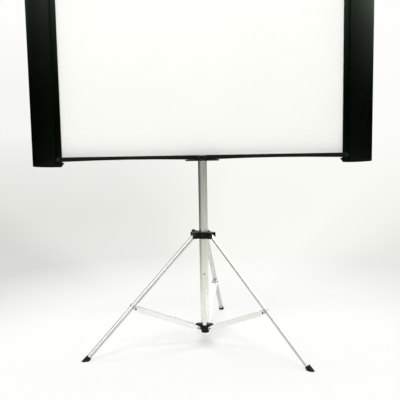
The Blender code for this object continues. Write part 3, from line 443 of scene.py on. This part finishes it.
def dress_nodes(finishes):
    """Rounded copies of the moulded, pressed and extruded pieces."""
    for word in ("left", "right"):
        round_off("housing_" + word, finishes["housing"], ROUND_EXTRUDED)
        round_off("lower_cap_" + word, finishes["cap"], ROUND_MOULDED)
        round_off("upper_cap_" + word, finishes["cap"], ROUND_MOULDED)
        round_off("lower_arm_" + word, finishes["arm"], ROUND_ARM)
        round_off("upper_arm_" + word, finishes["arm"], ROUND_ARM)
        for level in ("lower", "upper"):
            round_off("%s_knuckle_rivet_%s" % (level, word), finishes["bolt"], ROUND_TURNED)
            round_off("%s_pivot_bolt_%s" % (level, word), finishes["bolt"], ROUND_TURNED)
    for node in ("lower_knuckle", "upper_knuckle"):
        round_off(node, finishes["arm"], ROUND_KNUCKLE)
    for node in ("stand_head", "brace_hub", "leg_collar", "clamp_knob"):
        round_off(node, finishes["stand"], ROUND_MOULDED)
    round_off("pole_screw", finishes["bolt"], ROUND_SMALL)
    round_off("spring_roller", finishes["roller"], ROUND_TURNED)
    round_off("fabric_clamp_bar", finishes["roller"], ROUND_TURNED)
    for level in ("lower", "upper"):
        round_off("roller_bearing_" + level, finishes["stand"], ROUND_TURNED)
    for number in ("1", "2", "3"):
        round_off("brace_" + number, finishes["brace"], ROUND_PRESSED)
        round_off("brace_clip_" + number, finishes["clip"], ROUND_PRESSED)
        round_off("leg_eye_" + number, finishes["stand"], ROUND_PRESSED)
        round_off("leg_pin_" + number, finishes["bolt"], ROUND_TURNED)
        round_off("brace_pin_" + number, finishes["bolt"], ROUND_TURNED)
        for word in ("left", "right"):
            round_off("hub_rivet_%s_%s" % (number, word), finishes["bolt"], ROUND_SMALL)


# Fine tubes and boots
def turned(profile, sides, placement):
    """Outline of (radius, height) turned about Z and placed, closed unless it starts on the axis."""
    bm = bmesh.new()
    rings = []
    for radius, height in profile:
        if radius == 0:
            rings.append([bm.verts.new((0, 0, height))])
        else:
            rings.append([bm.verts.new((radius * math.cos(2 * math.pi * i / sides),
                                        radius * math.sin(2 * math.pi * i / sides), height))
                          for i in range(sides)])
    pairs = list(zip(rings, rings[1:]))
    if profile[0][0] > 0:
        pairs.append((rings[-1], rings[0]))
    for lower, upper in pairs:
        for i in range(sides):
            j = (i + 1) % sides
            ring = [lower[i % len(lower)], lower[j % len(lower)],
                    upper[j % len(upper)], upper[i % len(upper)]]
            corners = list(dict.fromkeys(ring))
            if len(corners) > 2:
                bm.faces.new(corners)
    bmesh.ops.transform(bm, matrix=placement, verts=bm.verts)
    return bm


def drilled(bm, cutter):
    """The first mesh with the second cut away."""
    pair = []
    for source in (bm, cutter):
        bmesh.ops.recalc_face_normals(source, faces=source.faces)
        pair.append(new_object("drilling", new_mesh("drilling", source)))
    cut = pair[0].modifiers.new("cut", 'BOOLEAN')
    cut.operation = 'DIFFERENCE'
    cut.solver = 'EXACT'
    cut.object = pair[1]
    result = bmesh.new()
    result.from_object(pair[0], bpy.context.evaluated_depsgraph_get())
    for obj in pair:
        bpy.data.objects.remove(obj)
    return result


def tube_outline(outer, wall, low, high):
    """Tube section with eased outer rims."""
    return [(outer - TUBE_EASE, low), (outer, low + TUBE_EASE), (outer, high - TUBE_EASE),
            (outer - TUBE_EASE, high), (outer - wall, high), (outer - wall, low)]


def leg_frame(index):
    """Frame of a leg: origin at its pivot, -Z down the leg, +X to its upper side."""
    turn = FIRST_LEG + index * 2 * math.pi / 3
    place = POLE + Vector((COLLAR_PIVOT_RADIUS * math.cos(turn), COLLAR_PIVOT_RADIUS * math.sin(turn),
                           COLLAR_PIVOT_HEIGHT))
    return Matrix.Translation(place) @ Matrix.Rotation(turn, 4, 'Z') @ Matrix.Rotation(-LEG_ANGLE, 4, 'Y')


def dress_pole(material):
    """Round pole with eased rims."""
    outline = tube_outline(POLE_RADIUS, POLE_WALL, pole_low.z, pole_high.z)
    bm = turned(outline, POLE_SIDES, Matrix.Translation(POLE))
    stand_in("centre_pole_fine", "centre_pole", bm, material, BREAK_TUBE)


def dress_leg(index, material):
    """Round leg tube with the hole for its pin."""
    node = "leg_tube_%d" % (index + 1)
    outline = tube_outline(LEG_RADIUS, LEG_WALL, BOOT_FLOOR + SEAT - LEG_AXIS, LEG_TOP)
    hole = LEG_PIN + SEAT
    drill = [(0, -DRILL_REACH), (hole, -DRILL_REACH), (hole, DRILL_REACH), (0, DRILL_REACH)]
    across = leg_frame(index) @ Matrix.Rotation(math.pi / 2, 4, 'X')
    bm = drilled(turned(outline, LEG_SIDES, leg_frame(index)), turned(drill, DRILL_SIDES, across))
    stand_in(node + "_fine", node, bm, material, BREAK_TUBE)


def boot_outline():
    """Radius and height of the boot's outside: sole, groove, body, rolled rim and the bore's edge."""
    body = BOOT_FLARE - BOOT_SETBACK
    waist = BOOT_FLARE - BOOT_GROOVE_DEPTH
    body_low = BOOT_GROOVE_TOP + BOOT_EASE
    rim = BOOT_RIM + BOOT_EASE
    outline = [(BOOT_FLARE, 0), (BOOT_FLARE - BOOT_EASE, BOOT_SOLE), (waist, BOOT_SOLE + BOOT_CHAMFER),
               (waist, BOOT_GROOVE_TOP - BOOT_CHAMFER), (body, BOOT_GROOVE_TOP)]
    for share in (0, 0.35, 0.70):
        outline.append((body + (BOOT_RIM - BOOT_FLARE) * share,
                        body_low + (BOOT_LENGTH - body_low) * share))
    return outline + [(BOOT_RIM - BOOT_SETBACK, BOOT_LENGTH - BOOT_ROLL - BOOT_CHAMFER),
                      (rim, BOOT_LENGTH - BOOT_ROLL), (rim, BOOT_LENGTH - BOOT_ROUND),
                      (rim - BOOT_CHAMFER, BOOT_LENGTH), (LEG_RADIUS + SEAT, BOOT_LENGTH)]


def boot_ring(bm, radius, height, tilt):
    """Ring of a boot in its leg's frame, with a share of the floor's tilt."""
    ring = []
    for i in range(BOOT_SIDES):
        angle = 2 * math.pi * i / BOOT_SIDES
        slope = -radius * math.cos(angle) * math.tan(LEG_ANGLE)
        ring.append(bm.verts.new((radius * math.cos(angle), radius * math.sin(angle),
                                  height + slope * tilt - LEG_AXIS)))
    return ring


def dress_boot(index, material):
    """Rubber boot with a groove and a rolled rim, cut level with the floor."""
    node = "foot_boot_%d" % (index + 1)
    bm = bmesh.new()
    rings = [boot_ring(bm, radius, height, 1 - height / BOOT_LENGTH) for radius, height in boot_outline()]
    rings.append(boot_ring(bm, LEG_RADIUS + SEAT, BOOT_FLOOR, 0))
    bm.faces.new(rings[0])
    for lower, upper in zip(rings, rings[1:]):
        for i in range(BOOT_SIDES):
            j = (i + 1) % BOOT_SIDES
            bm.faces.new((lower[i], lower[j], upper[j], upper[i]))
    bm.faces.new(rings[-1])
    bmesh.ops.transform(bm, matrix=leg_frame(index), verts=bm.verts)
    stand_in(node + "_fine", node, bm, material, BREAK_BOOT)


# Fabric
def fabric_depth(along, up):
    """Depth of the sheet from its plane: nothing at the held sides, a soft curl at the free edges."""
    free = math.sin(math.pi * along) ** 0.5
    curl = (math.exp(-up / CURL_REACH_LOW) + math.exp(-(1 - up) / CURL_REACH_HIGH)) / 2
    ripple = noise.noise(Vector((along * RIPPLES_ALONG, up * RIPPLES_UP, RIPPLE_LAYER)))
    return free * (CURL_DEPTH * curl + RIPPLE_DEPTH * ripple)


def fabric_layer(bm, low, high, depth):
    """Grid of the sheet's vertices at a depth, in rows from the lower edge up."""
    grid = []
    for row in range(FABRIC_ROWS + 1):
        up = row / FABRIC_ROWS
        line = []
        for column in range(FABRIC_COLUMNS + 1):
            along = column / FABRIC_COLUMNS
            line.append(bm.verts.new((low.x + (high.x - low.x) * along, depth + fabric_depth(along, up),
                                      low.z + (high.z - low.z) * up)))
        grid.append(line)
    return grid


def dress_fabric(material):
    """White sheet with a faint curl of its free edges, drawn from roller to clamp bar."""
    low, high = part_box("screen_fabric")
    middle = (low.y + high.y) / 2
    bm = bmesh.new()
    front, back = [fabric_layer(bm, low, high, middle + side * FABRIC_THICKNESS / 2) for side in (-1, 1)]
    for grid in (front, back):
        for r in range(FABRIC_ROWS):
            for c in range(FABRIC_COLUMNS):
                bm.faces.new((grid[r][c], grid[r][c + 1], grid[r + 1][c + 1], grid[r + 1][c]))
    rim = [(0, c) for c in range(FABRIC_COLUMNS)] + [(r, FABRIC_COLUMNS) for r in range(FABRIC_ROWS)]
    rim += [(FABRIC_ROWS, c) for c in range(FABRIC_COLUMNS, 0, -1)]
    rim += [(r, 0) for r in range(FABRIC_ROWS, 0, -1)]
    for (r1, c1), (r2, c2) in zip(rim, rim[1:] + rim[:1]):
        bm.faces.new((front[r1][c1], front[r2][c2], back[r2][c2], back[r1][c1]))
    sheet = stand_in("screen_fabric_cloth", "screen_fabric", bm, material, BREAK_FABRIC)
    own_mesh(sheet)


# Floor and background
def level_direction(tree, vector):
    """Unit vector on the level from a vector."""
    flat = tree.nodes.new("ShaderNodeVectorMath")
    flat.operation = "MULTIPLY"
    flat.inputs[1].default_value = (1, 1, 0)
    tree.links.new(vector, flat.inputs[0])
    unit = tree.nodes.new("ShaderNodeVectorMath")
    unit.operation = "NORMALIZE"
    tree.links.new(flat.outputs["Vector"], unit.inputs[0])
    return unit.outputs["Vector"]


def towards(tree, direction, side, most, start, end):
    """Value that grows from 0 to its most as a unit vector turns towards a side."""
    node = tree.nodes.new("ShaderNodeVectorMath")
    node.operation = "DOT_PRODUCT"
    node.inputs[1].default_value = side
    tree.links.new(direction, node.inputs[0])
    return spread(tree, node.outputs["Value"], 0, most, start, end)


def grey_ramp(tree, value, stops, blue=WARM_BLUE):
    """Grey by a value from 0 to 1."""
    ramp = tree.nodes.new("ShaderNodeValToRGB")
    ramp.color_ramp.elements[0].position = stops[0][0]
    ramp.color_ramp.elements[1].position = stops[-1][0]
    for position, _ in stops[1:-1]:
        ramp.color_ramp.elements.new(position)
    for element, (_, tone) in zip(ramp.color_ramp.elements, stops):
        element.color = (tone, tone, tone * blue, 1)
    tree.links.new(value, ramp.inputs["Fac"])
    return ramp.outputs["Color"]


def painted_back_shade(tree, direction):
    """Painted shade of the background: its grey in a direction on the level."""
    return grey_ramp(tree, towards(tree, direction, *ACROSS), BACK_SHADE_TONES)


def mix_shaders(tree, factor, first, second):
    """Mix of two shaders."""
    mix = tree.nodes.new("ShaderNodeMixShader")
    tree.links.new(factor, mix.inputs["Fac"])
    tree.links.new(first, mix.inputs[1])
    tree.links.new(second, mix.inputs[2])
    return mix.outputs["Shader"]


def seen(tree, path):
    """1 for rays from the camera and for mirrored ones."""
    return combine(tree, "MAXIMUM", path.outputs["Is Camera Ray"], path.outputs["Is Glossy Ray"])


def make_floor():
    """Large pale floor that runs out into the background, with painted shade behind the object and painted
    reflection tones for mirrored rays.
    """
    bm = bmesh.new()
    bmesh.ops.create_circle(bm, cap_ends=True, radius=FLOOR_RADIUS, segments=FLOOR_SIDES)
    floor = new_object("floor", new_mesh("floor", bm))
    floor.location.z = -FLOOR_DROP
    material, tree, shader = new_material("pale_floor", FLOOR_TONE, FLOOR_ROUGHNESS)
    coords = tree.nodes.new("ShaderNodeTexCoord")
    length = tree.nodes.new("ShaderNodeVectorMath")
    length.operation = "LENGTH"
    tree.links.new(coords.outputs["Object"], length.inputs[0])
    distance = length.outputs["Value"]
    away = spread(tree, distance, 0, 1, 0, FLOOR_REACH)
    direction = level_direction(tree, coords.outputs["Object"])
    # Painted shade: behind the object the floor greys as the background does
    shade = combine(tree, "MULTIPLY", towards(tree, direction, *BEHIND),
                    grey_ramp(tree, away, FLOOR_SHADE))
    plain = blend_colours(tree, shade, PALE, painted_back_shade(tree, direction))
    # Painted reflection: for mirrored rays the floor glows darker far off and dimmer on the left behind the
    # object
    dim = combine(tree, "MULTIPLY", towards(tree, direction, *DIM_FLOOR),
                  spread(tree, distance, 0, 1, DIM_NEAR, DIM_FAR))
    mirrored = blend_colours(tree, dim, grey_ramp(tree, away, MIRROR_FLOOR), BLACK)
    path = tree.nodes.new("ShaderNodeLightPath")
    glow = tree.nodes.new("ShaderNodeEmission")
    tone = blend_colours(tree, path.outputs["Is Glossy Ray"], plain, mirrored)
    tree.links.new(tone, glow.inputs["Color"])
    share = grey_ramp(tree, spread(tree, distance, 0, 1, 0, GLOW_REACH), GLOW_SHARE, blue=1)
    amount = combine(tree, "MULTIPLY", seen(tree, path), share)
    mix = mix_shaders(tree, amount, shader.outputs["BSDF"], glow.outputs["Emission"])
    tree.links.new(mix, tree.nodes["Material Output"].inputs["Surface"])
    floor.data.materials.append(material)


def make_world():
    """Soft light from all round, a pale background with painted shade for the camera, and for mirrored rays
    a painted dark room with painted highlights.
    """
    world = bpy.data.worlds.new("studio")
    bpy.context.scene.world = world
    world.use_nodes = True
    tree = world.node_tree
    tree.nodes.clear()
    output = tree.nodes.new("ShaderNodeOutputWorld")
    ambient = tree.nodes.new("ShaderNodeBackground")
    ambient.inputs["Color"].default_value = (*AMBIENT_TONE, 1)
    ambient.inputs["Strength"].default_value = AMBIENT_STRENGTH
    back = tree.nodes.new("ShaderNodeBackground")
    coords = tree.nodes.new("ShaderNodeTexCoord")
    split = tree.nodes.new("ShaderNodeSeparateXYZ")
    tree.links.new(coords.outputs["Generated"], split.inputs["Vector"])
    height = split.outputs["Z"]
    direction = level_direction(tree, coords.outputs["Generated"])
    # Painted shade: behind the object the background greys towards the horizon
    shade = combine(tree, "MULTIPLY", spread(tree, height, HORIZON_SHARE, 0, 0, HORIZON_FADE),
                    towards(tree, direction, *BEHIND))
    plain = blend_colours(tree, shade, PALE, painted_back_shade(tree, direction))
    # Painted reflection: for mirrored rays the sky is dark low down and dimmer on the left
    mirrored = blend_colours(tree, towards(tree, direction, *DIM_SKY),
                             grey_ramp(tree, spread(tree, height, 0, 1, -1, 1), MIRROR_SKY), BLACK)
    path = tree.nodes.new("ShaderNodeLightPath")
    tone = blend_colours(tree, path.outputs["Is Glossy Ray"], plain, mirrored)
    tree.links.new(tone, back.inputs["Color"])
    # Painted highlight: for mirrored rays the sky is brighter high up and on the right
    extra = combine(tree, "ADD", spread(tree, height, 0, CEILING_GLOSS, CEILING_FROM, CEILING_TO),
                    towards(tree, direction, *BRIGHT_SKY))
    extra = combine(tree, "MULTIPLY", path.outputs["Is Glossy Ray"], extra)
    most = CEILING_GLOSS + BRIGHT_SKY[1]
    tree.links.new(spread(tree, extra, 1, 1 + most, 0, most), back.inputs["Strength"])
    mix = mix_shaders(tree, seen(tree, path), ambient.outputs["Background"], back.outputs["Background"])
    tree.links.new(mix, output.inputs["Surface"])


# Light and camera
def area_light(name, place, aim, size, power):
    """Soft box at a place in metres, turned towards a point, with its power in watts."""
    data = bpy.data.lights.new(name, 'AREA')
    data.shape = 'RECTANGLE'
    data.size, data.size_y = size
    data.energy = power
    lamp = new_object(name, data)
    lamp.location = place
    lamp.rotation_mode = 'QUATERNION'
    lamp.rotation_quaternion = (Vector(aim) - Vector(place)).to_track_quat('-Z', 'Y')
    return lamp


def make_lights():
    """Two soft boxes in front, a wide one above, and a small high one that draws the shadows."""
    area_light("key", place=(-2.4, -3.6, 3.4), aim=(0, 0, 1.2), size=(2.0, 2.0), power=54)
    fill = area_light("fill", place=(2.8, -3.2, 2.6), aim=(0, 0, 1.0), size=(1.8, 1.8), power=32)
    fill.visible_glossy = False
    area_light("top", place=(0.0, 0.6, 4.2), aim=(0, 0, 1.0), size=(3.0, 2.0), power=66)
    area_light("high", place=(0.0, -2.2, 4.3), aim=(0, 0, 0.5), size=(0.9, 0.9), power=48)


def make_camera():
    """Camera at the photo's place, turned by its pitch, yaw and roll."""
    reach = math.cos(CAMERA_PITCH)
    ahead = Vector((math.sin(CAMERA_YAW) * reach, math.cos(CAMERA_YAW) * reach, math.sin(CAMERA_PITCH)))
    level = Vector((math.cos(CAMERA_YAW), -math.sin(CAMERA_YAW), 0))
    upright = level.cross(ahead)
    right = math.cos(CAMERA_ROLL) * level + math.sin(CAMERA_ROLL) * upright
    up = -math.sin(CAMERA_ROLL) * level + math.cos(CAMERA_ROLL) * upright
    data = bpy.data.cameras.new("photo_camera")
    data.lens = FOCAL_PIXELS / FRAME_PIXELS * SENSOR_WIDTH
    data.sensor_width = SENSOR_WIDTH
    camera = new_object("photo_camera", data)
    turn = Matrix((right, up, -ahead)).transposed().to_4x4()
    camera.matrix_world = Matrix.Translation(CAMERA_PLACE) @ turn
    bpy.context.scene.camera = camera


finishes = {key: make_finish(**values) for key, values in FINISHES.items()}
make_camera()
dress_nodes(finishes)
dress_pole(finishes["pole"])
for leg in range(3):
    dress_leg(leg, finishes["leg"])
    dress_boot(leg, finishes["rubber"])
dress_fabric(make_fabric())
make_floor()
make_world()
make_lights()
bpy.context.scene.view_settings.view_transform = 'Standard'
